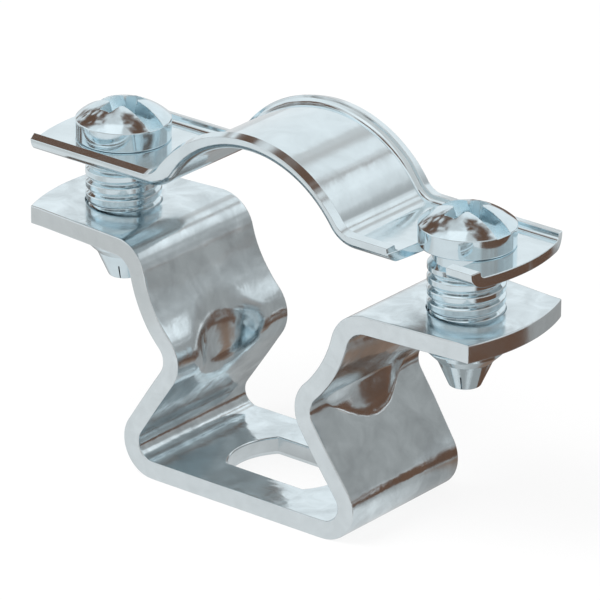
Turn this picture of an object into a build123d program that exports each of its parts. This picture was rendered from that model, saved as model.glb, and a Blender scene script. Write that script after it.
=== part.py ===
from build123d import *
import os
from math import asin, atan2, cos, degrees, hypot, radians, sin, sqrt

# Two-part saddle clamp for a pipe or conduit, all of zinc-plated steel.
# A folded strip, the saddle, is fixed through its base and carries the pipe between its arms.
# A channel-shaped cap arches over the pipe, and two screws draw it down towards the saddle's ears.
# The screws have a slim neck under the head, so they turn in the cap but don't fall out of it.
# The cap is drawn as it comes for fitting, open, with its plate well above the ears.
#
# X runs along the clamp, across the pipe. Y runs along the pipe. Z points up, away from the wall.
# The origin is the centre of the base's underside. All sizes are in millimetres.

# Saddle strip
sheet_thickness = 1.5
saddle_width = 13.5             # along the pipe, at the base
ear_end_width = 11.6            # along the pipe, at the corners of the ears
taper_start = 8.2               # distance from the middle where the strip begins to narrow
base_flat_half = 8.55           # from the middle to where the base bends begin
lower_leg_lean = 34.0           # degrees from upright, towards the middle
base_bend_radius = 1.3          # inside radius, as for the two below
waist_bend_radius = 1.5
ear_bend_radius = 1.6
ear_top_height = 19.25          # above the base's underside
end_corner = 21.4               # from the middle to the corners of the ends, of saddle and cap
end_bulge = 1.1                 # how far the arc of an end stands out past its corners

# Pipe that the clamp is shaped for
pipe_radius = 9.4
pipe_height = 19.0              # pipe axis above the base's underside

# Hole in the base: a round hole with two flats along the clamp
base_hole_diameter = 9.75
base_hole_width = 6.25

# Pressed gusset across each waist bend
gusset_depth = 1.5
gusset_half_width = 3.8
gusset_wall = 1.15              # thickness left where the gusset is pressed

# Cap
cap_thickness = 0.85
cap_width = 11.5
cap_lift = 4.35                 # open gap between the ears and the cap, as drawn
cap_arch_rise = 5.25            # inside rise of the arch above the cap's flats
cap_foot_radius = 3.0           # where the arch runs out into the flats, at the underside
lip_height = 1.42               # from the cap's underside to the top of its edges
lip_bend_radius = 0.5           # inside radius

# Screws
screw_inset = 4.6               # from the corners of an end to the screw's axis
thread_diameter = 6.0
neck_diameter = 5.2
neck_play = 0.35                # free length of the neck below the cap
screw_length = 11.5             # below the head
pilot_length = 2.1
pilot_top_diameter = 4.6
pilot_end_diameter = 2.7
head_diameter = 7.5
head_wall = 1.6                 # height of the head's upright side
dome_rise = 1.45                # height of the head's domed top above that side
slot_width = 1.5
slot_depth = 1.5                # below the top of the dome
wing_reach = 2.1                # from the middle to the tip of a wing of the cross recess
wing_width = 1.25
wing_depth = 2.3
wing_draft = 14.0               # degrees from upright
recess_core_radius = 1.15
slot_turn = -5.5                # degrees from +X, of both slots, as drawn

# Clearances
neck_clearance = 0.07           # radial, neck in the cap's hole and slot
thread_clearance = 0.05         # radial, thread in the ears' holes

# Worked out from the sizes above
half_sheet = sheet_thickness / 2
end_reach = end_corner + end_bulge
screw_x = end_corner - screw_inset
screw_spacing = 2 * screw_x
cap_underside = ear_top_height + cap_lift
cap_top = cap_underside + cap_thickness
neck_hole_radius = neck_diameter / 2 + neck_clearance
thread_hole_radius = thread_diameter / 2 + thread_clearance


def polar(centre, radius, angle):
    """The point at a distance and an angle in degrees from a centre, in the X-Z plane."""
    return centre[0] + radius * cos(radians(angle)), centre[1] + radius * sin(radians(angle))


def bearing(start, end):
    """The direction from one point to another, in degrees."""
    return degrees(atan2(end[1] - start[1], end[0] - start[0]))


def side_view(face):
    """Puts a face drawn as (x, z) into the X-Z plane."""
    return Plane.XZ * face


def saddle_centres():
    """Centres of the right half's bends, in the side view, for the middle of the sheet."""
    pipe = (0.0, pipe_height)
    base = (base_flat_half, half_sheet + base_bend_radius + half_sheet)
    ear_z = ear_top_height - half_sheet - ear_bend_radius - half_sheet
    ear_distance = pipe_radius + half_sheet + ear_bend_radius + half_sheet
    ear = (sqrt(ear_distance**2 - (ear_z - pipe_height) ** 2), ear_z)

    # The waist bend touches the leaning leg and the pipe's circle: walk up the leg until it does
    lean = radians(lower_leg_lean)
    side_step = base_bend_radius + half_sheet + waist_bend_radius + half_sheet
    foot = (base[0] + side_step * cos(lean), base[1] + side_step * sin(lean))
    waist_distance = pipe_radius + half_sheet + waist_bend_radius + half_sheet
    along = (foot[0] - pipe[0]) * -sin(lean) + (foot[1] - pipe[1]) * cos(lean)
    square = (foot[0] - pipe[0]) ** 2 + (foot[1] - pipe[1]) ** 2 - waist_distance**2
    climb = -along - sqrt(along**2 - square)
    waist = (foot[0] - climb * sin(lean), foot[1] + climb * cos(lean))
    return base, waist, pipe, ear


def saddle_path(offset):
    """Edges of the right half from the middle of the base to the ear's end.

    The offset is from the middle of the sheet, towards the pipe where it is positive.
    """
    base, waist, pipe, ear = saddle_centres()
    arcs = [
        (base, base_bend_radius + half_sheet - offset, -90.0, lower_leg_lean),
        (waist, waist_bend_radius + half_sheet + offset, 180.0 + lower_leg_lean, bearing(waist, pipe)),
        (pipe, pipe_radius + half_sheet - offset, bearing(pipe, waist), bearing(pipe, ear)),
        (ear, ear_bend_radius + half_sheet + offset, bearing(ear, pipe), 90.0),
    ]
    edges = []
    here = (0.0, half_sheet + offset)
    for centre, radius, start, end in arcs:
        arc_start = polar(centre, radius, start)
        if hypot(arc_start[0] - here[0], arc_start[1] - here[1]) > 1e-6:
            edges.append(Line(here, arc_start))
        edges.append(CenterArc(centre, radius, start, end - start))
        here = polar(centre, radius, end)
    last = (end_reach, here[1])
    edges.append(Line(here, last))
    return edges, last


def plan_outline(middle_width, end_width, narrow_from):
    """Outline seen from above: straight edges that may narrow, and ends that are arcs."""
    right = Polyline(
        (0, -middle_width / 2),
        (narrow_from, -middle_width / 2),
        (end_corner, -end_width / 2),
    )
    end = ThreePointArc((end_corner, -end_width / 2), (end_reach, 0), (end_corner, end_width / 2))
    back = Polyline(
        (end_corner, end_width / 2),
        (narrow_from, middle_width / 2),
        (0, middle_width / 2),
    )
    half = make_face(right + end + back + Line((0, middle_width / 2), (0, -middle_width / 2)))
    return half + mirror(half, about=Plane.YZ)


def gusset_axis():
    """Distance of the gusset cylinders' axis from the middle, their inner radius, and the waist's height."""
    waist = saddle_centres()[1]
    ridge = waist[0] - waist_bend_radius - sheet_thickness
    radius = (gusset_half_width**2 + gusset_depth**2) / (2 * gusset_depth)
    return ridge + gusset_depth - radius, radius, waist[1]


def gusset_bump():
    """The outer swelling of the right gusset: a round ridge that fills the waist's hollow."""
    base, waist, pipe, ear = saddle_centres()
    low = polar(base, base_bend_radius + half_sheet, lower_leg_lean)
    leg_end = polar(waist, waist_bend_radius + half_sheet, 180.0 + lower_leg_lean)
    seat_radius = pipe_radius + half_sheet
    high = polar(pipe, seat_radius, bearing(pipe, ear))
    outside = end_reach
    hollow = make_face(
        Line(low, leg_end)
        + CenterArc(
            waist,
            waist_bend_radius + half_sheet,
            180.0 + lower_leg_lean,
            bearing(waist, pipe) - 180.0 - lower_leg_lean,
        )
        + CenterArc(pipe, seat_radius, bearing(pipe, waist), bearing(pipe, ear) - bearing(pipe, waist))
        + Polyline(high, (outside, high[1]), (outside, low[1]), low)
    )
    axis, radius, waist_z = gusset_axis()
    ridge = Pos(axis, 0, waist_z) * Cylinder(radius + gusset_wall, 2 * (pipe_height - waist_z))
    return extrude(side_view(hollow), saddle_width / 2, both=True) & ridge


def gusset_groove():
    """What the right gusset takes from the pipe side: an upright cylinder across the waist."""
    axis, radius, waist_z = gusset_axis()
    return Pos(axis, 0, waist_z) * Cylinder(radius, waist_z)


def base_hole():
    """A round hole with two flats, through the base."""
    outline = Circle(base_hole_diameter / 2) & Rectangle(base_hole_diameter, base_hole_width)
    return extrude(outline, 2 * sheet_thickness, both=True)


def saddle():
    """The folded strip: base, leaning legs, pipe seats and ears."""
    outer, outer_end = saddle_path(-half_sheet)
    inner, inner_end = saddle_path(half_sheet)
    border = Curve() + outer + inner
    border += Line(outer_end, inner_end)
    border += Line((0, 0), (0, sheet_thickness))
    half = extrude(side_view(make_face(border)), saddle_width / 2, both=True)
    half += gusset_bump()
    half -= gusset_groove()
    strip = half + mirror(half, about=Plane.YZ)
    strip &= extrude(plan_outline(saddle_width, ear_end_width, taper_start), 2 * ear_top_height, both=True)
    strip -= base_hole()
    for side in (-1, 1):
        strip -= Pos(side * screw_x, 0, ear_top_height) * Cylinder(thread_hole_radius, 3 * sheet_thickness)
    return strip


def cap_path():
    """The cap's underside along the clamp: flat, foot, arch over the pipe, foot, flat."""
    arch = (0.0, cap_underside + cap_arch_rise - pipe_radius)
    foot_z = cap_underside + cap_foot_radius
    foot_x = sqrt((pipe_radius + cap_foot_radius) ** 2 - (foot_z - arch[1]) ** 2)
    rise = bearing(arch, (foot_x, foot_z))
    left_foot = CenterArc((-foot_x, foot_z), cap_foot_radius, -90.0, 90.0 - rise)
    crown = CenterArc(arch, pipe_radius, 180.0 - rise, 2 * rise - 180.0)
    right_foot = CenterArc((foot_x, foot_z), cap_foot_radius, 180.0 + rise, 90.0 - rise)
    left_flat = Line((-end_reach, cap_underside), (-foot_x, cap_underside))
    right_flat = Line((foot_x, cap_underside), (end_reach, cap_underside))
    return Plane.XZ * (left_flat + left_foot + crown + right_foot + right_flat)


def channel_section():
    """Section across the cap, drawn as (y, height above the underside): a plate with upturned edges."""
    outer = Pos(0, lip_height / 2) * Rectangle(cap_width, lip_height)
    outer = fillet(outer.vertices().group_by(Axis.Y)[0], lip_bend_radius + cap_thickness)
    inside_width = cap_width - 2 * cap_thickness
    inner = Pos(0, cap_thickness + lip_height / 2) * Rectangle(inside_width, lip_height)
    inner = fillet(inner.vertices().group_by(Axis.Y)[0], lip_bend_radius)
    return outer - inner


def swing_slot():
    """The slot that is open towards -Y, on a circle about the left screw, for the right screw's neck."""
    wide = Circle(screw_spacing + neck_hole_radius)
    narrow = Circle(screw_spacing - neck_hole_radius)
    front = Pos(screw_spacing, -cap_width / 2) * Rectangle(screw_spacing, cap_width)
    return Pos(-screw_x, 0) * ((wide - narrow) & front) + Pos(screw_x, 0) * Circle(neck_hole_radius)


def cap():
    """The channel-shaped strap over the pipe, with a hole for one screw and an open slot for the other."""
    start = Plane(origin=(-end_reach, 0, cap_underside), x_dir=(0, 1, 0), z_dir=(1, 0, 0))
    strap = sweep(start * channel_section(), path=cap_path())
    strap &= extrude(plan_outline(cap_width, cap_width, taper_start), 2 * cap_top, both=True)
    holes = swing_slot() + Pos(-screw_x, 0) * Circle(neck_hole_radius)
    return strap - extrude(Pos(0, 0, cap_underside) * holes, 2 * lip_height, both=True)


def screw_body():
    """The turned form, with its head's seat at height zero."""
    neck_end = -(cap_thickness + neck_play)
    tip = -screw_length
    thread_end = tip + pilot_length
    runout = (thread_diameter - pilot_top_diameter) / 2
    rim = head_wall
    half_outline = Polyline(
        (0, tip),
        (pilot_end_diameter / 2, tip),
        (pilot_top_diameter / 2, thread_end),
        (thread_diameter / 2, thread_end + runout),
        (thread_diameter / 2, neck_end),
        (neck_diameter / 2, neck_end),
        (neck_diameter / 2, 0),
        (head_diameter / 2, 0),
        (head_diameter / 2, rim),
    )
    dome_radius = ((head_diameter / 2) ** 2 + dome_rise**2) / (2 * dome_rise)
    spread = degrees(asin(head_diameter / 2 / dome_radius))
    dome = CenterArc((0, rim + dome_rise - dome_radius), dome_radius, 90.0 - spread, spread)
    outline = make_face(half_outline + dome + Line((0, rim + dome_rise), (0, tip)))
    return revolve(side_view(outline), Axis.Z)


def driver_recess():
    """A slot across the whole head, with a cross recess and its round core in the middle."""
    top = head_wall + dome_rise
    slot = Pos(0, 0, top) * Box(2 * head_diameter, slot_width, 2 * slot_depth)
    lost = wing_depth * sin(radians(wing_draft)) / cos(radians(wing_draft))
    upper = Pos(0, 0, top) * Rectangle(2 * wing_reach, wing_width)
    lower = Pos(0, 0, top - wing_depth) * Rectangle(2 * (wing_reach - lost), wing_width / 2)
    wing = loft([upper, lower])
    core_end = recess_core_radius / 3
    core = Pos(0, 0, top - wing_depth / 2) * Cone(core_end, recess_core_radius, wing_depth)
    return slot + wing + Rot(0, 0, 90) * wing + core


def screw(side):
    """A pan-headed screw, seated on the cap."""
    solid = screw_body() - driver_recess()
    return Pos(side * screw_x, 0, cap_top) * Rot(0, 0, slot_turn) * solid


parts = {
    "saddle": saddle(),
    "cap": cap(),
    "left_screw": screw(-1),
    "right_screw": screw(1),
}

os.makedirs("parts", exist_ok=True)
for name, shape in parts.items():
    export_step(shape, f"parts/{name}.step")
    print(name, round(shape.volume, 2), "mm3, valid:", shape.is_valid)
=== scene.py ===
from collections import namedtuple
from math import atan2, copysign, cos, degrees, hypot, pi, radians, sin, sqrt, tan

import bmesh
import bpy
from bmesh.types import BMEdge, BMVert
from bpy.props import FloatProperty, FloatVectorProperty, PointerProperty
from mathutils import Matrix, Vector


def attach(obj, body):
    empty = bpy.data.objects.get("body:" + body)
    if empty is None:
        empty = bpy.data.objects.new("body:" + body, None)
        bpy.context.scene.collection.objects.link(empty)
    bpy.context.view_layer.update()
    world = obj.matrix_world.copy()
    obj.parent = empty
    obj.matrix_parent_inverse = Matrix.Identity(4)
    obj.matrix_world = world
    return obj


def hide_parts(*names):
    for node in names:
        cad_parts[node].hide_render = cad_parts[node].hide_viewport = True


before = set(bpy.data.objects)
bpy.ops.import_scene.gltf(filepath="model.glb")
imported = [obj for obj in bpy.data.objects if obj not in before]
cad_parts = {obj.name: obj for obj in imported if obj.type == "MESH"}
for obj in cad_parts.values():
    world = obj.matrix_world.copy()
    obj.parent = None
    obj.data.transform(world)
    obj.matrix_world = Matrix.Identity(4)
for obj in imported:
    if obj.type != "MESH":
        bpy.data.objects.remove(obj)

bl_info = {
    "name": "Saddle clamp",
    "version": (1, 0, 0),
    "blender": (4, 5, 0),
    "location": "3D View > Sidebar > Clamp",
    "description": "Models the strip, the cap and the screws of a zinc-plated saddle clamp",
    "category": "Object",
}

MM = 0.001
NIL = 1e-7          # metres: points that lie closer than this are one
CUT_OVER = 2 * MM   # how far a cutter stands out past the sheet
CAP_FLARE = 0.08 * MM   # rounding at the rims of the cap's hole and slot
WHITE = (1, 1, 1, 1)


def length(name, default, description):
    """A size in metres whose default is given in millimetres."""
    return FloatProperty(name=name, description=description, default=default * MM, min=0.0,
                         unit="LENGTH", subtype="DISTANCE", precision=5)


def angle(name, default, description):
    """An angle whose default is given in degrees."""
    return FloatProperty(name=name, description=description, default=radians(default),
                         unit="ROTATION", subtype="ANGLE")


def tint(name, default, description):
    return FloatVectorProperty(name=name, description=description, default=default, size=3,
                               min=0.0, max=1.0, subtype="COLOR")


class StripSizes(bpy.types.PropertyGroup):
    """Sizes of the folded strip."""
    thickness: length("Thickness", 1.5, "Thickness of the strip")
    width: length("Width", 13.5, "Width of the strip at its base")
    ear_width: length("Ear width", 11.6, "Width of the strip at the corners of the ears")
    taper_start: length("Taper start", 8.2, "Where the strip begins to narrow")
    base_half: length("Base half", 8.55, "From the middle to the base bends")
    base_bend: length("Base bend", 1.3, "Inside radius of the bends at the base")
    waist_bend: length("Waist bend", 1.5, "Inside radius of the bends at the waist")
    ear_bend: length("Ear bend", 1.6, "Inside radius of the bends at the ears")
    ear_height: length("Ear height", 19.25, "Height of the ears' tops")
    corner: length("Corner", 21.4, "From the middle to the ends' corners")
    bulge: length("Bulge", 1.1, "How far an end's arc passes its corners")
    pipe_radius: length("Pipe radius", 9.4, "Radius of the pipe's seat")
    pipe_height: length("Pipe height", 19.0, "Height of the pipe's axis")
    gusset_axis: length("Gusset axis", 1.679, "From the middle to the gussets' axes")
    gusset_radius: length("Gusset radius", 6.138, "Radius at the middle of the sheet")
    gusset_wall: length("Gusset wall", 1.15, "Thickness left where the gussets are pressed")
    hole_radius: length("Hole radius", 4.875, "Radius of the base hole's round ends")
    hole_half_width: length("Hole half width", 3.125, "Half the width between the flats")
    ear_hole_radius: length("Ear hole radius", 3.02, "Radius of the ears' threaded holes")
    leg_lean: angle("Leg lean", 34.0, "Lean of the lower legs from upright")


class CapSizes(bpy.types.PropertyGroup):
    """Sizes of the cap."""
    thickness: length("Thickness", 0.85, "Thickness of the cap")
    width: length("Width", 11.5, "Width over the upturned edges")
    underside: length("Underside", 23.6, "Height of the flats' underside")
    arch_rise: length("Arch rise", 5.25, "Inside rise above the flats")
    foot_radius: length("Foot radius", 3.0, "Radius of the arch's feet")
    lip_bend: length("Lip bend", 0.5, "Inside radius of the edges")
    lip_rise: length("Lip rise", 0.22, "Straight part of the edges")
    lip_angle: angle("Lip angle", 74.0, "How far the edges are turned up")
    right_set: FloatProperty(name="Right set", default=0.12, min=0.0, max=0.5,
                             description="How much steeper the edges stand at the right end")
    neck_hole: length("Neck hole", 2.67, "Radius of the hole, and half the slot's width")


class ScrewSizes(bpy.types.PropertyGroup):
    """Sizes of the screws."""
    reach: length("Reach", 16.8, "From the middle to the screws' axes")
    head_radius: length("Head radius", 3.75, "Radius of the head")
    head_wall: length("Head wall", 1.6, "Height of its upright side")
    dome_rise: length("Dome rise", 1.45, "Height of the dome above it")
    neck_radius: length("Neck radius", 2.6, "Radius of the neck in the cap")
    neck_length: length("Neck length", 1.2, "Length of the neck")
    thread_radius: length("Thread radius", 3.0, "Radius over the thread's crests")
    root_radius: length("Root radius", 2.72, "Radius at the thread's root")
    pitch: length("Pitch", 1.0, "Rise of the thread in one turn")
    shank: length("Shank", 11.5, "Length of the screw below its head")
    pilot: length("Pilot", 2.1, "Length of the tapered end")
    pilot_top: length("Pilot top", 2.15, "Radius where it meets the thread")
    pilot_tip: length("Pilot tip", 1.27, "Radius of its flat tip")
    slot_width: length("Slot width", 1.5, "Width of the driver's slot")
    slot_depth: length("Slot depth", 1.5, "Depth below the top of the dome")
    wing_reach: length("Wing reach", 2.1, "From the middle to the tips of the wings")
    wing_width: length("Wing width", 1.25, "Width of the wings")
    wing_depth: length("Wing depth", 2.3, "Depth of the cross recess")
    slit_turn: angle("Slit turn", -58.5, "Turn of the tapered end's slit from the slot")
    slot_turn: angle("Slot turn", -5.5, "Turn of the slots about the screws' axes")


class Finishes(bpy.types.PropertyGroup):
    """Colours of the plating and of the studio."""
    strip: tint("Strip", (0.75, 0.84, 0.88), "Satin zinc of the strip")
    cut_edge: tint("Cut edge", (0.75, 0.82, 0.85), "Sheared edges of the strip")
    cap: tint("Cap", (0.77, 0.865, 0.905), "Bright zinc of the cap")
    screw: tint("Screw", (0.735, 0.855, 0.91), "Blue-bright zinc of the screws")
    # The recess tint is the screw zinc made lighter and bluer: painted light in the slot and
    # recess, where shade falls.
    recess: tint("Recess", (0.80, 0.92, 0.97), "Zinc inside the screws' slot and recess")
    floor: tint("Floor", (0.86, 0.86, 0.86), "Floor of the studio")
    flag: tint("Flag", (0.140, 0.077, 0.052), "Dark cards that give the metal its contrast")
    warm_flag: tint("Warm flag", (0.24, 0.16, 0.12), "Card inside the saddle")
    shade: tint("Shade", (0.36, 0.355, 0.35), "Shaded floor, as gloss sees it")
    half_shade: tint("Half shade", (0.62, 0.61, 0.60), "Lighter shade beside and before the clamp")


GROUPS = {"clamp_strip": StripSizes, "clamp_cap": CapSizes, "clamp_screw": ScrewSizes,
          "clamp_finish": Finishes}


# Geometry shared by the pieces

def polar(centre, radius, angle):
    """The point at a distance and an angle from a centre, in the X-Z plane."""
    return centre[0] + radius * cos(angle), centre[1] + radius * sin(angle)


def bearing(start, end):
    return atan2(end[1] - start[1], end[0] - start[0])


def strip_bends(s):
    """Centre, middle radius, start angle and sweep of the right half's bends, base to ear."""
    half = s.thickness / 2
    base_radius, waist_radius, ear_radius = (
        inside + half for inside in (s.base_bend, s.waist_bend, s.ear_bend))
    pipe, seat_radius = (0.0, s.pipe_height), s.pipe_radius + half
    base = (s.base_half, half + base_radius)
    ear_z = s.ear_height - half - ear_radius
    ear = (sqrt((seat_radius + ear_radius) ** 2 - (ear_z - s.pipe_height) ** 2), ear_z)
    lean, step = s.leg_lean, base_radius + waist_radius
    foot = (base[0] + step * cos(lean), base[1] + step * sin(lean))
    along = -foot[0] * sin(lean) + (foot[1] - s.pipe_height) * cos(lean)
    square = foot[0] ** 2 + (foot[1] - s.pipe_height) ** 2 - (seat_radius + waist_radius) ** 2
    climb = -along - sqrt(along ** 2 - square)
    waist = (foot[0] - climb * sin(lean), foot[1] + climb * cos(lean))
    bends = []
    for centre, radius, start, end in (
        (base, base_radius, -pi / 2, lean),
        (waist, waist_radius, pi + lean, bearing(waist, pipe)),
        (pipe, seat_radius, bearing(pipe, waist), bearing(pipe, ear)),
        (ear, ear_radius, bearing(ear, pipe), pi / 2),
    ):
        if centre == waist and end < 0:
            end += 2 * pi
        bends.append((centre, radius, start, end - start))
    return bends


def steps_for(distance, size):
    return max(1, round(distance / size))


def of_kind(made, kind):
    return [item for item in made if isinstance(item, kind)]


def everything(bm):
    return bm.verts[:] + bm.edges[:] + bm.faces[:]


def weld(bm, near=NIL):
    bmesh.ops.remove_doubles(bm, verts=bm.verts, dist=near)


def face_out(bm):
    bmesh.ops.recalc_face_normals(bm, faces=bm.faces)


def shift(bm, by, verts=None):
    bmesh.ops.translate(bm, verts=verts or bm.verts, vec=by)


def rotate(bm, by, axis):
    bmesh.ops.rotate(bm, verts=bm.verts, cent=(0, 0, 0), matrix=Matrix.Rotation(by, 3, axis))


def mirror(bm, axis, near=NIL):
    bmesh.ops.mirror(bm, geom=everything(bm), axis=axis, merge_dist=near)
    weld(bm, near)


def add_all(bm, other):
    """Moves everything from another bmesh into this one."""
    mesh = bpy.data.meshes.new("joined")
    other.to_mesh(mesh)
    other.free()
    bm.from_mesh(mesh)
    bpy.data.meshes.remove(mesh)


def push(bm, edge_row, move, steps):
    """Extrudes a row of edges in equal straight steps, and returns the last row."""
    for _ in range(steps):
        made = bmesh.ops.extrude_edge_only(bm, edges=edge_row)["geom"]
        moved = of_kind(made, BMVert)
        shift(bm, Vector(move) / steps, moved)
        edge_row = [e for e in of_kind(made, BMEdge) if all(v in moved for v in e.verts)]
    return edge_row


def swing(bm, geom, centre, sweep, steps):
    """Spins geometry about an axis along Y, and returns its end. Positive goes from X to Z."""
    return bmesh.ops.spin(bm, geom=geom, cent=(centre[0], 0, centre[1]), axis=(0, -1, 0),
                          angle=sweep, steps=steps)["geom_last"]


def swing_row(bm, edge_row, centre, sweep, steps):
    """Spins a row of edges, and returns the last row."""
    around = list({v for e in edge_row for v in e.verts})
    return of_kind(swing(bm, around + edge_row, centre, sweep, steps), BMEdge)


def trace(bm, start, moves):
    """Draws an open outline in the X-Z plane: straight moves, and turns about centres."""
    tip = bmesh.ops.create_vert(bm, co=(start[0], 0, start[1]))["vert"][0]
    for move in moves:
        if len(move) == 2:
            made = bmesh.ops.extrude_vert_indiv(bm, verts=[tip])["verts"]
            shift(bm, (move[0], 0, move[1]), made)
        else:
            made = of_kind(swing(bm, [tip], *move), BMVert)
        tip = made[0]


def turn_solid(bm, steps):
    """Spins everything drawn so far once around Z and closes it."""
    bmesh.ops.spin(bm, geom=everything(bm), cent=(0, 0, 0), axis=(0, 0, 1), angle=2 * pi,
                   steps=steps, use_merge=True)
    weld(bm)
    bmesh.ops.dissolve_degenerate(bm, dist=NIL, edges=bm.edges)
    face_out(bm)


def flat_grid(half_x, half_y):
    """A single face about the middle."""
    bm = bmesh.new()
    bmesh.ops.create_grid(bm, x_segments=1, y_segments=1, size=1.0)
    bmesh.ops.scale(bm, verts=bm.verts, vec=(half_x, half_y, 1))
    return bm


def to_object(bm, name):
    piece = bpy.data.objects.new(name, bpy.data.meshes.new(name))
    bpy.context.scene.collection.objects.link(piece)
    give_back(bm, piece)
    return piece


def mesh_of(piece):
    bm = bmesh.new()
    bm.from_mesh(piece.data)
    return bm


def give_back(bm, piece):
    bm.to_mesh(piece.data)
    bm.free()


def bake(piece):
    """Makes the modifiers' result the piece's own mesh."""
    bpy.context.view_layer.update()
    graph = bpy.context.evaluated_depsgraph_get()
    mesh = bpy.data.meshes.new_from_object(
        piece.evaluated_get(graph), preserve_all_data_layers=True, depsgraph=graph)
    old = piece.data
    piece.modifiers.clear()
    piece.data = mesh
    mesh.name = old.name
    bpy.data.meshes.remove(old)


def cut(piece, *cutters):
    """Takes closed cutters away from a piece and removes them."""
    for cutter in cutters:
        change = piece.modifiers.new("Cut", "BOOLEAN")
        change.operation, change.solver, change.object = "DIFFERENCE", "EXACT", cutter
        bake(piece)
        spent = cutter.data
        bpy.data.objects.remove(cutter)
        bpy.data.meshes.remove(spent)


def add_wall(piece, thickness):
    """Gives a sheet its thickness, to both sides, with the second material on its rim."""
    wall = piece.modifiers.new("Wall", "SOLIDIFY")
    wall.thickness, wall.offset, wall.use_even_offset = thickness, 0.0, True
    wall.material_offset_rim = 1
    return wall


def soften_edges(piece, width):
    """Rounds the sheet's edges in the second material."""
    soften = piece.modifiers.new("Soften", "BEVEL")
    soften.width, soften.segments, soften.profile = width, 3, 0.5
    soften.limit_method, soften.angle_limit, soften.material = "ANGLE", radians(50), 1
    soften.use_clamp_overlap = False
    bake(piece)


def finish_piece(piece, body, node, crease, sliver):
    """Shades flat faces flat beside slivers of rounding, and puts the piece in the node's place.

    The normals are weighed in millimetres, since areas in square metres are too small for that.
    """
    bm = mesh_of(piece)
    weld(bm, 2 * NIL)
    bmesh.ops.dissolve_degenerate(bm, dist=2 * NIL, edges=bm.edges)
    for face in bm.faces:
        face.smooth = True
    for edge in bm.edges:
        edge.smooth = len(edge.link_faces) == 2 and edge.calc_face_angle(0.0) < crease
    bmesh.ops.scale(bm, verts=bm.verts, vec=(1 / MM, 1 / MM, 1 / MM))
    give_back(bm, piece)
    weigh = piece.modifiers.new("Weigh", "WEIGHTED_NORMAL")
    weigh.keep_sharp, weigh.weight, weigh.thresh = True, 80, sliver
    bake(piece)
    piece.data.transform(Matrix.Scale(MM, 4))
    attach(piece, body)
    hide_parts(node)


def flared_wall(x, start, end, flare):
    """Moves along a hole's wall, which opens in a quarter round where it meets each face."""
    inset = copysign(flare, end - start)
    return (((x, start + inset), -pi / 2, 4),
            (0, end - start - 2 * inset),
            ((x, end - inset), -pi / 2, 4))


def turned_hole(radius, low, high, flare, steps):
    """A solid as large as a hole with flared rims, about the Z axis."""
    wide = radius + flare
    bm = bmesh.new()
    trace(bm, (0, low - CUT_OVER), ((wide, 0), (0, CUT_OVER), *flared_wall(wide, low, high, flare),
                                    (0, CUT_OVER), (-wide, 0)))
    turn_solid(bm, steps)
    return bm


def hole_cutter(radius, low, high, flare, at):
    bm = turned_hole(radius, low, high, flare, 96)
    shift(bm, at)
    return to_object(bm, "cutter")


def arc_radius(half, rise):
    """Radius of the arc that rises so far above the middle of its chord."""
    return (half ** 2 + rise ** 2) / (2 * rise)


def onto_arc(s, x, y, start, reach, half):
    """Where a point past the start lands when an end drawn as far as reach becomes an arc."""
    radius = arc_radius(half, s.bulge)
    y = min(half, abs(y))
    limit = s.corner + s.bulge - radius + sqrt(radius ** 2 - y * y)
    return start + (limit - start) * ((x - start) / (reach - start))


# The strip

def half_width_at(s, x):
    along = (abs(x) - s.taper_start) / (s.corner - s.taper_start)
    return (s.width + max(0.0, along) * (s.ear_width - s.width)) / 2


def press_gusset(s, bm, waist_z):
    """Presses the waist outwards onto an upright cylinder, and notes the wall left there."""
    layer = bm.verts.layers.deform.verify()
    low, high = 3.2 * MM, s.ear_height - 2.4 * MM
    fade = 0.7 * MM
    thinned = s.gusset_wall / s.thickness
    for vert in bm.verts:
        x, y, z = vert.co
        vert[layer][0] = 1.0
        if not low < z < high or abs(y) > s.gusset_radius:
            continue
        above = min(1.0, max(0.0, (z - waist_z) / (1.2 * MM) + 0.5))
        soft = (0.42 + 0.75 * above) * MM
        target = s.gusset_axis + sqrt(s.gusset_radius ** 2 - y * y)
        near = max(0.0, 1.0 - abs(target - x) / soft)
        vert.co.x = pressed = max(x, target) + soft * near * near * 0.25
        share = min(1.0, max(0.0, (pressed - x) / fade))
        vert[layer][0] = 1.0 + share * (thinned - 1.0)


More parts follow.
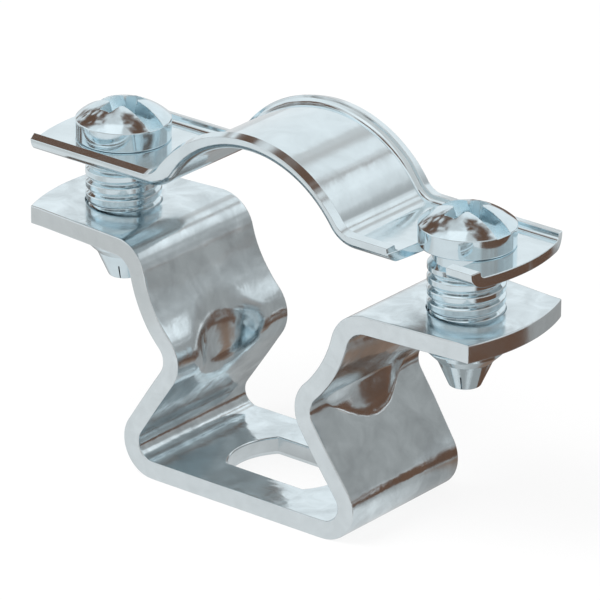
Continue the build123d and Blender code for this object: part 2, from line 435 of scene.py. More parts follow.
def model_strip(context):
    s = context.scene.clamp_strip
    grain, near = 0.26 * MM, 10 * NIL
    half = s.thickness / 2
    bm = bmesh.new()
    start = [bmesh.ops.create_vert(bm, co=(0, side, half))["vert"][0] for side in (-1, 1)]
    row = bmesh.ops.contextual_create(bm, geom=start)["edges"]
    bmesh.ops.subdivide_edges(bm, edges=row, cuts=steps_for(s.width, grain) - 1)
    row = push(bm, bm.edges[:], (s.base_half, 0, 0), steps_for(s.base_half, 0.5 * MM))
    here = (s.base_half, half)
    bends = strip_bends(s)
    for centre, radius, begin, sweep in bends:
        first = polar(centre, radius, begin)
        gap = hypot(first[0] - here[0], first[1] - here[1])
        if gap > NIL:
            row = push(bm, row, (first[0] - here[0], 0, first[1] - here[1]), steps_for(gap, grain))
        row = swing_row(bm, row, centre, sweep, max(12, steps_for(radius * abs(sweep), grain)))
        here = polar(centre, radius, begin + sweep)
    full = s.corner + s.bulge
    push(bm, row, (full - here[0], 0, 0), steps_for(s.corner - here[0], 0.4 * MM))

    # From a straight ribbon to the plan: narrower towards the ears, which end in arcs
    for vert in bm.verts:
        vert.co.y *= half_width_at(s, min(vert.co.x, s.corner))
        x, y, z = vert.co
        if z > s.ear_height - s.thickness and x > here[0]:
            vert.co.x = onto_arc(s, x, y, here[0], full, s.ear_width / 2)
    press_gusset(s, bm, bends[1][0][1])
    mirror(bm, "X", near)
    face_out(bm)

    piece = to_object(bm, "folded_strip")
    piece.vertex_groups.new(name="Wall share")
    coat(context, piece, "satin_zinc", "sheared_edge")
    add_wall(piece, s.thickness).vertex_group = "Wall share"
    soften_edges(piece, 0.11 * MM)

    reach = context.scene.clamp_screw.reach
    ears = [hole_cutter(s.ear_hole_radius, s.ear_height - s.thickness, s.ear_height, 0.05 * MM,
                        (side * reach, 0, 0)) for side in (-1, 1)]
    cut(piece, *ears, base_hole_cutter(s))
    mark_walls(piece, s, reach)
    return piece


def base_hole_cutter(s):
    """A round cutter brought in to the hole's two flats."""
    bm = turned_hole(s.hole_radius, 0.0, s.thickness, 0.16 * MM, 144)
    for vert in bm.verts:
        outside = hypot(vert.co.x, vert.co.y) - s.hole_radius
        limit = s.hole_half_width + max(0.0, outside)
        if outside > -NIL and abs(vert.co.y) > limit:
            vert.co.y *= limit / abs(vert.co.y)
    weld(bm)
    face_out(bm)
    return to_object(bm, "cutter")


def mark_walls(piece, s, reach):
    """Gives the walls of the holes the cut edge's finish."""
    rim = 0.05 * MM
    for face in piece.data.polygons:
        x, y, z = face.center
        in_base = z < s.thickness and hypot(x, y) < s.hole_radius + rim
        from_screw = hypot(abs(x) - reach, y)
        in_ear = z > s.ear_height - s.thickness and from_screw < s.ear_hole_radius + rim
        if in_base or in_ear:
            face.material_index = 1


# The cap

def cap_bends(c, pipe_radius):
    """Centres of the arch and its foot in the side view, and where the two meet."""
    arch = (0.0, c.underside + c.arch_rise - pipe_radius)
    foot_z = c.underside + c.foot_radius
    foot_x = sqrt((pipe_radius + c.foot_radius) ** 2 - (foot_z - arch[1]) ** 2)
    return arch, (foot_x, foot_z), atan2(foot_z - arch[1], foot_x)


def cap_section(c, end, middle):
    """Section across the strap: half a plate and an upturned edge, mirrored."""
    bend = c.lip_bend + c.thickness / 2
    turn = c.lip_angle
    over = (bend + c.thickness / 2) * sin(turn) + c.lip_rise * cos(turn)
    plate = c.width / 2 - over
    bm = bmesh.new()
    tip = bmesh.ops.create_vert(bm, co=(-end, 0, middle))["vert"]
    made = bmesh.ops.extrude_vert_indiv(bm, verts=tip)
    shift(bm, (0, plate, 0), made["verts"])
    bmesh.ops.subdivide_edges(bm, edges=made["edges"], cuts=9)
    turned = bmesh.ops.spin(bm, geom=[max(bm.verts, key=lambda v: v.co.y)], axis=(1, 0, 0),
                            cent=(-end, plate, middle + bend), angle=turn, steps=10)["geom_last"]
    made = bmesh.ops.extrude_vert_indiv(bm, verts=of_kind(turned, BMVert))["verts"]
    shift(bm, (0, c.lip_rise * cos(turn), c.lip_rise * sin(turn)), made)
    mirror(bm, "Y")
    return bm


def model_cap(context):
    c, s = context.scene.clamp_cap, context.scene.clamp_strip
    end = s.corner + s.bulge
    reach = end + 0.6 * MM      # drawn this far, then brought back onto the end's arc
    middle = c.underside + c.thickness / 2
    bm = cap_section(c, end, middle)
    climb = bm.verts.layers.float.new("climb")
    for vert in bm.verts:
        vert[climb] = vert.co.z - middle

    # The section is drawn along the flats, feet and arch of the right half, then mirrored
    shift(bm, (end, 0, 0))
    arch, foot, rise = cap_bends(c, s.pipe_radius)
    shift(bm, (0, 0, arch[1] + s.pipe_radius + c.thickness / 2 - middle))
    row = swing_row(bm, bm.edges[:], arch, rise - pi / 2, 72)
    row = swing_row(bm, row, foot, pi / 2 - rise, 36)
    push(bm, row, (reach - foot[0], 0, 0), 28)
    mirror(bm, "X")
    face_out(bm)

    # The edges stand a little steeper towards the right end
    set_from, set_over = 7.5 * MM, 2.5 * MM
    for vert in bm.verts:
        share = min(1.0, max(0.0, (vert.co.x - set_from) / set_over))
        vert.co.y -= copysign(c.right_set, vert.co.y) * share * vert[climb]

    piece = to_object(bm, "arched_cap")
    coat(context, piece, "bright_zinc", "cap_edge")
    add_wall(piece, c.thickness)
    bake(piece)
    for vert in piece.data.vertices:
        x, y, _ = vert.co
        if abs(x) > foot[0]:
            vert.co.x = copysign(onto_arc(s, abs(x), y, foot[0], reach, c.width / 2), x)
    soften_edges(piece, 0.07 * MM)

    screw = context.scene.clamp_screw.reach
    holes = [hole_cutter(c.neck_hole, c.underside, c.underside + c.thickness, CAP_FLARE,
                         (side * screw, 0, 0)) for side in (-1, 1)]
    cut(piece, *holes, swing_slot_cutter(c, screw))
    return piece


def swing_slot_cutter(c, reach):
    """The open slot's wall, swept about the left screw from the right screw to the front."""
    low, high = c.underside, c.underside + c.thickness
    wide = c.neck_hole + CAP_FLARE
    swept = 0.32
    bm = bmesh.new()
    trace(bm, (2 * reach - wide, low - CUT_OVER), (
        (2 * wide, 0),
        (0, CUT_OVER),
        *flared_wall(2 * reach + wide, low, high, CAP_FLARE),
        (0, CUT_OVER),
        (-2 * wide, 0),
        (0, -CUT_OVER),
        *flared_wall(2 * reach - wide, high, low, CAP_FLARE),
    ))
    bmesh.ops.contextual_create(bm, geom=[v for v in bm.verts if len(v.link_edges) == 1])
    bmesh.ops.contextual_create(bm, geom=bm.edges[:])
    bmesh.ops.spin(bm, geom=everything(bm), cent=(0, 0, 0), axis=(0, 0, 1), angle=-swept, steps=24)
    face_out(bm)
    shift(bm, (-reach, 0, 0))
    return to_object(bm, "cutter")


# The screws

def model_screw(context, side):
    c, k = context.scene.clamp_cap, context.scene.clamp_screw
    piece = screw_head(k, "left_captive_screw" if side < 0 else "right_captive_screw")
    # The slot and recess get a lighter copy of the screw zinc: painted light where shade falls.
    coat(context, piece, "screw_zinc", "recess_zinc")
    cut(piece, *recess_cutters(k))
    soften_rims(piece, k)

    bm = mesh_of(piece)
    shank = bmesh.new()
    add_all(shank, thread(k))
    add_all(shank, pilot(k))
    face_out(shank)
    add_all(bm, shank)
    rotate(bm, k.slot_turn, "Z")
    shift(bm, (side * k.reach, 0, c.underside + c.thickness))
    give_back(bm, piece)
    return piece


def screw_head(k, name):
    """Neck, seat, rounded side and dome, with the seat at height zero."""
    r = k.head_radius
    dome, top = arc_radius(r, k.dome_rise), k.head_wall + k.dome_rise
    rim, foot = 0.13 * MM, 0.16 * MM

    # The rim's small round touches the side and the dome
    side_centre = r - rim
    drop = sqrt((dome - rim) ** 2 - side_centre ** 2)
    rim_z = top - dome + drop
    meet = atan2(drop, side_centre)
    bm = bmesh.new()
    trace(bm, (0, -k.neck_length), (
        (k.neck_radius, 0),
        (0, k.neck_length),
        (r - foot - k.neck_radius, 0),
        ((r - foot, foot), pi / 2, 4),
        (0, rim_z - foot),
        ((side_centre, rim_z), meet, 5),
        ((0, top - dome), pi / 2 - meet, 28),
    ))
    for vert in bm.verts:
        if abs(vert.co.x) < NIL:
            vert.co.x = 0.0
    turn_solid(bm, 128)
    return to_object(bm, name)


def soften_rims(piece, k):
    """Rounds the edges where the slot and the recess break through the dome and the side."""
    dome = arc_radius(k.head_radius, k.dome_rise)
    centre = Vector((0, 0, k.head_wall + k.dome_rise - dome))
    near = 20 * NIL

    def on_surface(point):
        return (abs((point - centre).length - dome) < near
                or abs(hypot(point.x, point.y) - k.head_radius) < near)

    bm = mesh_of(piece)
    rims = [e for e in bm.edges if e.calc_face_angle(0.0) > radians(25)
            and e.verts[0].co.z > k.head_wall * 0.5 and all(on_surface(v.co) for v in e.verts)]
    bmesh.ops.bevel(bm, geom=rims, offset=0.035 * MM, offset_type="OFFSET", segments=2, profile=0.5,
                    affect="EDGES", material=-1)
    give_back(bm, piece)


def wing_cutter(k, turned, top):
    """Two opposite wings of the cross recess, wider and further apart towards the dome."""
    draft = 0.2493      # how far a wing draws in, as a share of its depth
    lost = k.wing_depth * draft
    bm = flat_grid(k.wing_reach - lost, k.wing_width / 4)
    upper = of_kind(bmesh.ops.extrude_face_region(bm, geom=bm.faces[:])["geom"], BMVert)
    bmesh.ops.scale(bm, verts=upper, vec=(1.0 + lost / (k.wing_reach - lost), 2.0, 1))
    shift(bm, (0, 0, k.wing_depth), upper)
    lid = [f for f in bm.faces if all(v in upper for v in f.verts)]
    more = of_kind(bmesh.ops.extrude_face_region(bm, geom=lid)["geom"], BMVert)
    shift(bm, (0, 0, MM), more)
    inner = [f for f in bm.faces if len([v for v in f.verts if v in upper]) == 4]
    bmesh.ops.delete(bm, geom=inner, context="FACES_ONLY")
    rotate(bm, turned, "Z")
    shift(bm, (0, 0, top - k.wing_depth))
    face_out(bm)
    return to_object(bm, "cutter")


def recess_cutters(k):
    """The driver's slot, the cross recess with its sloping wings, and the recess's round core."""
    top = k.head_wall + k.dome_rise
    slot, core = bmesh.new(), bmesh.new()
    bmesh.ops.create_cube(slot, size=1.0)
    bmesh.ops.scale(slot, verts=slot.verts, vec=(4 * k.head_radius, k.slot_width, 2 * k.slot_depth))
    shift(slot, (0, 0, top))
    bmesh.ops.create_cone(core, cap_ends=True, segments=48, radius1=0.38 * MM, radius2=1.15 * MM,
                          depth=k.wing_depth)
    shift(core, (0, 0, top - k.wing_depth / 2))
    cutters = [to_object(slot, "cutter"), wing_cutter(k, 0.0, top), wing_cutter(k, pi / 2, top),
               to_object(core, "cutter")]
    for cutter in cutters:
        cutter.data.polygons.foreach_set("material_index", [1] * len(cutter.data.polygons))
    return cutters


def thread(k):
    """One pitch of the thread's outline, spun upwards, then trimmed to the shank's length."""
    top, bottom = -k.neck_length, k.pilot - k.shank
    crest, root = k.thread_radius, k.root_radius
    round_crest, round_root, lean = 0.15 * MM, 0.06 * MM, radians(50)
    begin = bottom - 1.5 * k.pitch
    turns = int((top - begin) / k.pitch) + 3
    flank = crest - root - (round_crest + round_root) * (1 - cos(lean))
    groove = (round_crest + round_root) * sin(lean) + flank / tan(lean)
    bm = bmesh.new()
    trace(bm, (root, begin), (
        ((root + round_root, begin), -lean, 3),
        (flank, flank / tan(lean)),
        ((crest - round_crest, begin + groove), lean, 5),
        (0, k.pitch - 2 * groove),
        ((crest - round_crest, begin + k.pitch - groove), lean, 5),
        (-flank, flank / tan(lean)),
        ((root + round_root, begin + k.pitch), -lean, 3),
    ))
    per_turn = 80
    bmesh.ops.spin(bm, geom=everything(bm), cent=(0, 0, 0), axis=(0, 0, 1),
                   dvec=(0, 0, k.pitch / per_turn), angle=2 * pi * turns, steps=per_turn * turns)
    weld(bm, 20 * NIL)
    for height, side in ((top, 1), (bottom, -1)):
        bmesh.ops.bisect_plane(bm, geom=everything(bm), plane_co=(0, 0, height),
                               plane_no=(0, 0, side), clear_outer=True, dist=NIL)

    # It runs out into the tapered end and, more steeply, into the neck
    for vert in bm.verts:
        x, y, z = vert.co
        limit = min(k.pilot_top + (z - bottom), k.neck_radius + 1.2 * (top - z))
        if hypot(x, y) > limit:
            vert.co.x *= limit / hypot(x, y)
            vert.co.y *= limit / hypot(x, y)
    bmesh.ops.holes_fill(bm, edges=[e for e in bm.edges if e.is_boundary], sides=0)
    return bm


def pilot(k):
    """The tapered end, which runs a little way up inside the thread, with a narrow slit."""
    tip, rounding = -k.shank, 0.12 * MM
    run, rise = k.pilot_top - k.pilot_tip, k.pilot - rounding
    bm = bmesh.new()
    trace(bm, (0, tip), (
        (k.pilot_tip - rounding, 0),
        ((k.pilot_tip - rounding, tip + rounding), atan2(rise, run), 4),
        (0.6 * run, 0.6 * rise),
        (0.4 * run, 0.4 * rise),
        (0, 0.3 * MM),
        (-k.pilot_top, 0),
    ))
    for vert in bm.verts:
        if vert.co.x < 10 * NIL:
            vert.co.x = 0.0
    steps = 96
    turn_solid(bm, steps)
    for facet in bm.faces:
        x, y, z = facet.calc_center_median()
        low = tip + rounding < z < tip + 0.5 * k.pilot
        if low and abs(atan2(y, x) - k.slit_turn) < pi / steps:
            bmesh.ops.inset_individual(bm, faces=[facet], thickness=0.002 * MM, depth=-0.7 * MM)
            break
    return bm


# Finishes

Plating = namedtuple("Plating", "tint roughness patch grain stretch tone rough_range relief calm",
                     defaults=(False,))

# Patch and grain are scales per metre, tone and rough_range are shares, and relief holds the
# depths of waves, grain and dents in millimetres. A calm plating is smoother on the ears.
PLATINGS = {
    "satin_zinc": Plating("strip", 0.15, 420, 2600, 0.25, 0.18, 0.3, (0.062, 0.003, 0.045), True),
    "sheared_edge": Plating("cut_edge", 0.2, 700, 2400, 1.0, 0.05, 0.2, (0.008, 0.004, 0.006)),
    "bright_zinc": Plating("cap", 0.12, 380, 2200, 0.06, 0.06, 0.25, (0.030, 0.002, 0.010)),
    "cap_edge": Plating("cap", 0.12, 600, 2600, 0.3, 0.05, 0.2, (0.004, 0.001, 0.002)),
    "screw_zinc": Plating("screw", 0.11, 500, 1800, 1.0, 0.05, 0.3, (0.012, 0.001, 0.004)),
    # A lighter, bluer copy of the screw zinc: painted light for the slot and recess.
    "recess_zinc": Plating("recess", 0.26, 500, 1800, 1.0, 0.05, 0.2, (0.006, 0.002, 0.002)),
}


def new_group(name, vectors, floats, outputs):
    """An empty node group: its vector inputs, its float inputs with defaults, its float outputs."""
    group = bpy.data.node_groups.new(name, "ShaderNodeTree")
    for way, kind, titles in (("INPUT", "Vector", vectors), ("INPUT", "Float", floats),
                              ("OUTPUT", "Float", outputs)):
        for title in titles:
            made = group.interface.new_socket(name=title, in_out=way,
                                              socket_type="NodeSocket" + kind)
            if titles is floats:
                made.default_value = floats[title]
    return group, group.nodes.new("NodeGroupInput").outputs, group.nodes.new("NodeGroupOutput")


def feed(tree, made, inputs):
    """Links or sets a node's inputs, by name or number."""
    for key, value in inputs.items():
        if isinstance(value, bpy.types.NodeSocket):
            tree.links.new(value, made.inputs[key])
        else:
            made.inputs[key].default_value = value


def node(tree, kind, inputs=None, **settings):
    made = tree.nodes.new("ShaderNode" + kind)
    for key, value in settings.items():
        setattr(made, key, value)
    feed(tree, made, inputs or {})
    return made


def ramp(tree, factor, stops):
    made = node(tree, "ValToRGB", {"Fac": factor})
    line = made.color_ramp
    while len(line.elements) > 1:
        line.elements.remove(line.elements[-1])
    line.elements[0].position, line.elements[0].color = stops[0][0], (*[stops[0][1]] * 3, 1)
    for place, value in stops[1:]:
        line.elements.new(place).color = (value, value, value, 1)
    return made.outputs["Color"]


def maths(tree, operation, a, b=0.0, clamp=False):
    return node(tree, "Math", {0: a, 1: b}, operation=operation, use_clamp=clamp).outputs[0]


def mix_colour(tree, factor, a, b):
    return node(tree, "Mix", {0: factor, 6: a, 7: b}, data_type="RGBA").outputs[2]


def mix_shaders(tree, share, first, second):
    return node(tree, "MixShader", {0: share, 1: first.outputs[0], 2: second.outputs[0]})


def noise(tree, place, scale, detail, **more):
    inputs = {"Vector": place, "Scale": scale, "Detail": detail, **more}
    return node(tree, "TexNoise", inputs).outputs["Fac"]


def sway(tree, value, width):
    """A noise's value as a push to either side."""
    return maths(tree, "MULTIPLY", maths(tree, "SUBTRACT", value, 0.5), width)


def fade(tree, away, outer, inner):
    """One up to the inner distance, nothing past the outer, and smooth between."""
    return node(tree, "MapRange", {"Value": away, "From Min": outer, "From Max": inner},
                interpolation_type="SMOOTHSTEP").outputs["Result"]


def plating_group():
    """Cloudy zinc: patches of tone, and a fine grain stretched along the rolling direction."""
    name = "Plating"
    if name in bpy.data.node_groups:
        return bpy.data.node_groups[name]
    group, given, leave = new_group(
        name, ["Coordinates"], {"Patch size": 400.0, "Grain size": 1500.0, "Stretch": 0.1},
        ["Patches", "Grain", "Waves", "Dents"])
    place, patch = given["Coordinates"], given["Patch size"]
    split = node(group, "SeparateXYZ", {"Vector": place}).outputs
    along = maths(group, "MULTIPLY", split["X"], given["Stretch"])
    drawn = node(group, "CombineXYZ", {"X": along, "Y": split["Y"], "Z": split["Z"]}).outputs[0]
    slow, quick = (maths(group, "MULTIPLY", patch, share) for share in (0.45, 1.35))
    feed(group, leave, {
        "Patches": noise(group, place, patch, 3.0, Roughness=0.55, Distortion=0.6),
        "Grain": noise(group, drawn, given["Grain size"], 4.0, Roughness=0.6),
        "Waves": noise(group, place, slow, 1.0),
        "Dents": noise(group, place, quick, 2.0, Roughness=0.4, Distortion=0.4),
    })
    return group


def plated(context, name):
    """A plated metal: tone and roughness follow the patches, and three heights give it relief."""
    if name in bpy.data.materials:
        return bpy.data.materials[name]
    look = PLATINGS[name]
    material = bpy.data.materials.new(name)
    material.use_nodes = True
    tree = material.node_tree
    place = node(tree, "TexCoord").outputs["Object"]
    cloudy = node(tree, "Group", {"Coordinates": place, "Patch size": look.patch,
                                  "Grain size": look.grain, "Stretch": look.stretch},
                  node_tree=plating_group()).outputs
    spread = ramp(tree, cloudy["Patches"], ((0.32, 0.0), (0.68, 1.0)))
    colour = getattr(context.scene.clamp_finish, look.tint)
    dark = [c * (1 - look.tone) for c in colour]
    light = [min(1.0, c * (1 + look.tone * 0.6)) for c in colour]
    rough, change = look.roughness, look.rough_range
    rough = node(tree, "MapRange", {"Value": spread, "To Min": rough * (1 + change),
                                    "To Max": rough * (1 - change)})
    waves, grain, dents = (maths(tree, "MULTIPLY", cloudy[title], depth)
                           for title, depth in zip(("Waves", "Grain", "Dents"), look.relief))
    height = maths(tree, "ADD", maths(tree, "ADD", waves, grain), dents)
    if look.calm:
        s = context.scene.clamp_strip
        calm = s.ear_height - s.thickness
        up = node(tree, "SeparateXYZ", {"Vector": place}).outputs["Z"]
        quiet = node(tree, "MapRange", {"Value": up, "From Min": calm - MM, "From Max": calm,
                                        "To Min": 1.0, "To Max": 0.25})
        height = maths(tree, "MULTIPLY", height, quiet.outputs["Result"])
    relief = node(tree, "Bump", {"Height": height, "Strength": 1.0, "Distance": MM})
    feed(tree, tree.nodes["Principled BSDF"], {
        "Base Color": mix_colour(tree, spread, (*dark, 1), (*light, 1)),
        "Metallic": 1.0,
        "Roughness": rough.outputs["Result"],
        "Normal": relief.outputs["Normal"],
    })
    return material


def coat(context, piece, *platings):
    for name in platings:
        piece.data.materials.append(plated(context, name))


# The studio

def empty_material(name):
    material = bpy.data.materials.new(name)
    material.use_nodes = True
    material.node_tree.nodes.clear()
    return material, material.node_tree


def set_up_card(bm, material, share, colour):
    """Makes a card that only gloss sees, as solid as the share says."""
    tree = material.node_tree
    light = node(tree, "Emission", {"Color": colour, "Strength": 1.0})
    both = mix_shaders(tree, share, node(tree, "BsdfTransparent"), light)
    node(tree, "OutputMaterial", {"Surface": both.outputs[0]})
    piece = to_object(bm, material.name)
    piece.data.materials.append(material)
    piece.visible_camera = piece.visible_diffuse = piece.visible_shadow = False
    piece.visible_transmission = piece.visible_volume_scatter = False


def soft_card(name, colour, centre, half, soft, lift):
    """A card lying on the floor that fades out towards its borders."""
    material, tree = empty_material(name)
    place = node(tree, "TexCoord").outputs["Object"]
    ripple = sway(tree, noise(tree, place, 60.0, 2.0), 2.0 * soft)
    split = node(tree, "SeparateXYZ", {"Vector": place}).outputs
    shares = []
    for axis in (0, 1):
        away = maths(tree, "ABSOLUTE", maths(tree, "SUBTRACT", split[axis], centre[axis]))
        away = maths(tree, "ADD", away, ripple)
        shares.append(fade(tree, away, half[axis] + soft, half[axis] - soft))
    bm = flat_grid(half[0] + 2 * soft, half[1] + 2 * soft)
    shift(bm, (*centre, lift))
    set_up_card(bm, material, maths(tree, "MULTIPLY", *shares, clamp=True), (*colour, 1))


def standing_card(name, low, high, away, facing, half, height, stops):
    """A standing card in two colours; the stops say how solid it is on the way up."""
    material, tree = empty_material(name)
    place = node(tree, "TexCoord").outputs["Object"]
    up = node(tree, "SeparateXYZ", {"Vector": place}).outputs["Z"]
    ripple = sway(tree, noise(tree, place, 240.0, 1.0, Distortion=0.8), 10 * MM)
    level = node(tree, "MapRange", {"Value": maths(tree, "ADD", up, ripple),
                                    "From Max": height}).outputs["Result"]
    kind = ramp(tree, level, ((0.26, 0.0), (0.32, 1.0)))
    bm = flat_grid(height / 2, half)
    rotate(bm, -pi / 2, "Y")
    shift(bm, (away, 0, height / 2 + 0.5 * MM))
    rotate(bm, facing, "Z")
    colour = mix_colour(tree, kind, (*low, 1), (*high, 1))
    set_up_card(bm, material, ramp(tree, level, stops), colour)


def floor_material(colour):
    """A pale floor that the camera and gloss see as white, with the object's shadow kept faint."""
    white_share, gloss_loss = 0.86, 0.30
    material, tree = empty_material("studio_floor")
    path = node(tree, "LightPath").outputs
    level = maths(tree, "SUBTRACT", 1.0, maths(tree, "MULTIPLY", path["Is Glossy Ray"], gloss_loss))
    plain = node(tree, "BsdfDiffuse", {"Color": (*colour, 1)})
    white = node(tree, "Emission", {"Color": WHITE, "Strength": level})
    seen = maths(tree, "ADD", path["Is Camera Ray"], path["Is Glossy Ray"])
    seen = maths(tree, "ADD", seen, path["Is Transmission Ray"])
    both = mix_shaders(tree, maths(tree, "MULTIPLY", seen, white_share), plain, white)
    node(tree, "OutputMaterial", {"Surface": both.outputs[0]})
    return material


def window_group():
    """How far a direction lies inside a soft-edged window, by its bearing and height in degrees."""
    group, given, leave = new_group(
        "Window", [], {"Bearing": 0.0, "Height": 0.0, "Middle": 0.0, "Half width": 20.0,
                       "Level": 0.0, "Half height": 20.0, "Softness": 8.0}, ["Inside"])
    off = maths(group, "SUBTRACT", given["Bearing"], given["Middle"])
    wrapped = node(group, "Math", {0: off, 1: 180.0, 2: -180.0}, operation="WRAP").outputs[0]
    above = maths(group, "SUBTRACT", given["Height"], given["Level"])
    shares = []
    for away, half in ((wrapped, given["Half width"]), (above, given["Half height"])):
        outer, inner = (maths(group, sign, half, given["Softness"]) for sign in ("ADD", "SUBTRACT"))
        shares.append(fade(group, maths(group, "ABSOLUTE", away), outer, inner))
    feed(group, leave, {"Inside": maths(group, "MULTIPLY", *shares, clamp=True)})
    return group


def paint_world(scene, f):
    """White to the camera. Gloss sees a soft room with darker places, each a soft-edged window."""
    world = scene.world = scene.world or bpy.data.worlds.new("studio")
    world.use_nodes = True
    tree = world.node_tree
    tree.nodes.clear()
    path = node(tree, "LightPath").outputs
    way = node(tree, "TexCoord").outputs["Generated"]
    stir = sway(tree, noise(tree, way, 5.0, 3.0, Distortion=1.0), 36.0)
    broken = ramp(tree, noise(tree, way, 4.6, 1.0, Distortion=1.2), ((0.38, 1.0), (0.52, 0.0)))
    split = node(tree, "SeparateXYZ", {"Vector": way}).outputs
    turn = maths(tree, "ARCTAN2", split["Y"], split["X"])
    around, above = (maths(tree, "ADD", maths(tree, "MULTIPLY", found, degrees(1.0)), stir)
                     for found in (turn, maths(tree, "ARCSINE", split["Z"])))
    window = window_group()
    colour = (0.88, 0.90, 0.91, 1)
    grey, dusk = (0.42, 0.42, 0.42), (0.68, 0.68, 0.68)
    warm, haze = (0.42, 0.38, 0.36), (0.55, 0.53, 0.52)
    line, glare, bloom = (0.15, 0.13, 0.12), (1.05, 1.05, 1.05), (0.92, 0.94, 0.95)
    # Bearing, height and size in degrees, then the tone, and how far the window is broken up
    for middle, half_width, level, half_height, softness, tone, flecked in (
        (-51, 70, 26, 28, 9, f.half_shade, 0.3),
        (-51, 85, 1, 4, 2.5, line, 0),
        (100, 8, 43, 5, 3, haze, 0.3),
        (175, 34, 68, 14, 8, dusk, 0),
        (-112, 46, 78, 19, 7, glare, 0),
        (-32, 26, 80, 12, 7, haze, 0.3),
        (45, 34, 18, 10, 6, grey, 0),
        (45, 34, 2, 6, 4, f.flag, 0.7),
        (61, 9, 33, 6, 7, bloom, 0),
        (71, 4.5, 40, 3.5, 1.5, f.flag, 0.3),
        (0, 18, 10, 18, 4, warm, 0),
        (64, 72, 72, 11, 6, f.flag, 0.15),
        (14, 24, 61, 9, 4, f.flag, 0),
        (172, 22, 36, 25, 5, f.flag, 0.8),
        (147, 7, 48, 8, 4, f.flag, 0),
    ):
        share = node(tree, "Group", {"Bearing": around, "Height": above, "Middle": middle,
                                     "Half width": half_width, "Level": level,
                                     "Half height": half_height, "Softness": softness},
                     node_tree=window).outputs["Inside"]
        if flecked:
            left = maths(tree, "SUBTRACT", 1.0, maths(tree, "MULTIPLY", broken, flecked))
            share = maths(tree, "MULTIPLY", share, left)
        colour = mix_colour(tree, share, colour, (*tone, 1))
    room, plain, white = (node(tree, "Background", {"Color": shown, "Strength": strength})
                          for shown, strength in ((colour, 1.0), (WHITE, 0.55), (WHITE, 1.0)))
    first = mix_shaders(tree, path["Is Glossy Ray"], plain, room)
    clear = maths(tree, "ADD", path["Is Camera Ray"], path["Is Transmission Ray"], clamp=True)
    second = mix_shaders(tree, clear, first, white)
    node(tree, "OutputWorld", {"Surface": second.outputs[0]})


def soft_light(name, place, size, power):
    lamp = bpy.data.lights.new(name, "AREA")
    lamp.shape, lamp.size, lamp.size_y, lamp.energy = "RECTANGLE", *size, power
    holder = bpy.data.objects.new(name, lamp)
    bpy.context.scene.collection.objects.link(holder)
    holder.location = place
    target = Vector((0, 0, 10 * MM))
    holder.rotation_euler = (target - Vector(place)).to_track_quat("-Z", "Y").to_euler()
    holder.visible_glossy = False


def place_camera(scene):
    """The photograph's viewing angle, with angles in radians and the focal length in its pixels."""
    around, above, roll = 0.675557, 0.403994, 0.006674
    aim, away = Vector((0.8477, 0, 15.431)) * MM, 0.48607
    focal, picture_width, sensor = 6349.6, 600, 36.0
    back = Vector((sin(around) * cos(above), -cos(around) * cos(above), sin(above)))
    right = Vector((cos(around), sin(around), 0))
    up = back.cross(right)
    across = cos(roll) * right + sin(roll) * up
    upward = -sin(roll) * right + cos(roll) * up
    lens = bpy.data.cameras.new("camera")
    lens.sensor_width, lens.sensor_height, lens.sensor_fit = sensor, sensor, "HORIZONTAL"
    lens.lens = focal / picture_width * sensor
    lens.clip_start, lens.clip_end = 0.01, 20.0
    holder = bpy.data.objects.new("camera", lens)
    scene.collection.objects.link(holder)
    turn = Matrix((across, upward, back)).transposed().to_4x4()
    holder.matrix_world = Matrix.Translation(aim + back * away) @ turn
    scene.camera = holder


def build_stage(context):
    scene = context.scene
    f = scene.clamp_finish
    bm = bmesh.new()
    bmesh.ops.create_circle(bm, cap_ends=True, segments=96, radius=3.0)
    floor = to_object(bm, "studio_floor")
    floor.data.materials.append(floor_material(f.floor))
    # Middle, half size, softness and height of the cards on the floor, in millimetres
    for name, colour, centre, half, soft, lift in (
        ("shaded_floor", f.shade, (-4, 34), (40, 30), 6, 0.3),
        ("shaded_patch", f.shade, (22, -8), (6, 5), 2, 0.35),
        ("shaded_side", f.half_shade, (-45, -38), (14, 20), 6, 0.3),
        ("shaded_near", f.shade, (26, 9), (6, 12), 3, 0.38),
        ("dark_card_inside", f.warm_flag, (12.5, 15.5), (4.5, 6.5), 2, 0.35),
        ("dark_card_near", f.flag, (41, 5), (9, 12), 3, 0.42),
        ("dark_card_back", f.flag, (27, 47), (13, 11), 5, 0.55),
        ("dark_card_far", f.flag, (66, 22), (34, 47), 5, 0.5),
        ("dark_card_rear", f.flag, (-34, 43), (36, 9), 4, 0.6),
    ):
        soft_card(name, colour, Vector(centre) * MM, Vector(half) * MM, soft * MM, lift * MM)
    standing_card("card_behind_leg", f.flag, f.shade, 21.5 * MM, radians(51), 17 * MM, 24 * MM,
                  ((0.15, 1.0), (0.25, 0.0), (0.31, 0.0), (0.37, 1.0), (0.80, 1.0), (0.90, 0.0)))
    standing_card("card_behind_arch", f.flag, f.flag, 62 * MM, radians(104), 11 * MM, 44 * MM,
                  ((0.05, 0.0), (0.12, 1.0), (0.60, 1.0), (0.75, 0.0)))
    soft_light("key", (-0.25, -0.35, 0.55), (0.5, 0.5), 5.0)
    soft_light("fill", (0.5, -0.3, 0.35), (0.5, 0.4), 2.0)
    paint_world(scene, f)
    scene.view_settings.view_transform = "Standard"
    place_camera(scene)


# Operators and panel

class CLAMP_OT_strip(bpy.types.Operator):
    """Model the folded strip with its pressed gussets and its holes"""
    bl_idname = "clamp.strip"
    bl_label = "Folded strip"

    def execute(self, context):
        finish_piece(model_strip(context), "saddle", "saddle", crease=radians(34),
                     sliver=0.03)
        return {"FINISHED"}


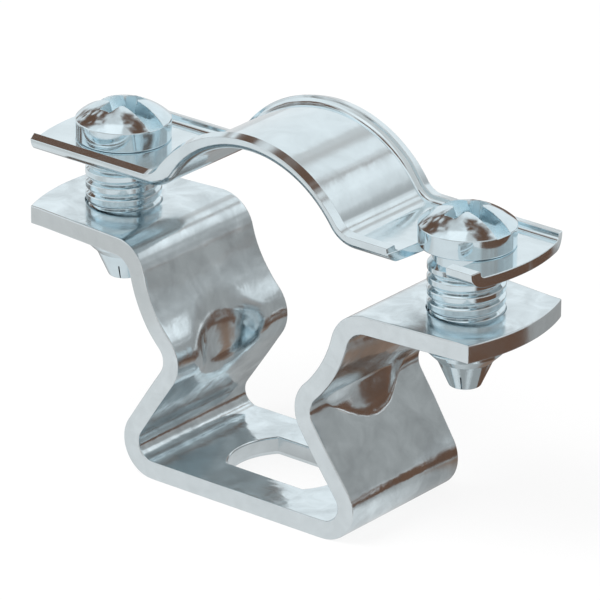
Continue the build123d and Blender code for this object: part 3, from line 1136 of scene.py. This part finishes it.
class CLAMP_OT_cap(bpy.types.Operator):
    """Model the arched cap with its upturned edges, hole and open slot"""
    bl_idname = "clamp.cap"
    bl_label = "Arched cap"

    def execute(self, context):
        finish_piece(model_cap(context), "cap", "cap", crease=radians(34), sliver=0.008)
        return {"FINISHED"}


class CLAMP_OT_screws(bpy.types.Operator):
    """Model the two captive screws with their threads and driver recesses"""
    bl_idname = "clamp.screws"
    bl_label = "Screws"

    def execute(self, context):
        for side, name in ((-1, "left_screw"), (1, "right_screw")):
            finish_piece(model_screw(context, side), name, name, crease=radians(38),
                         sliver=0.005)
        return {"FINISHED"}


class CLAMP_OT_stage(bpy.types.Operator):
    """Set up the floor, the cards, the lights and the camera"""
    bl_idname = "clamp.stage"
    bl_label = "Studio"

    def execute(self, context):
        build_stage(context)
        return {"FINISHED"}


OPERATORS = (CLAMP_OT_strip, CLAMP_OT_cap, CLAMP_OT_screws, CLAMP_OT_stage)


class CLAMP_PT_panel(bpy.types.Panel):
    """Lists the steps that make the clamp and its studio"""
    bl_idname = "CLAMP_PT_panel"
    bl_label = "Saddle clamp"
    bl_space_type = "VIEW_3D"
    bl_region_type = "UI"
    bl_category = "Clamp"

    def draw(self, context):
        for operator in OPERATORS:
            self.layout.operator(operator.bl_idname)
        for group in GROUPS:
            box = self.layout.box()
            settings = getattr(context.scene, group)
            for name in settings.__annotations__:
                box.prop(settings, name)


def register():
    for item in (*GROUPS.values(), *OPERATORS, CLAMP_PT_panel):
        bpy.utils.register_class(item)
    for name, group in GROUPS.items():
        setattr(bpy.types.Scene, name, PointerProperty(type=group))


def unregister():
    for name in GROUPS:
        delattr(bpy.types.Scene, name)
    for item in (CLAMP_PT_panel, *reversed(OPERATORS), *reversed(GROUPS.values())):
        bpy.utils.unregister_class(item)


def main():
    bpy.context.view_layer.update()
    register()
    bpy.ops.clamp.strip()
    bpy.ops.clamp.cap()
    bpy.ops.clamp.screws()
    bpy.ops.clamp.stage()


if __name__ == "__main__":
    main()
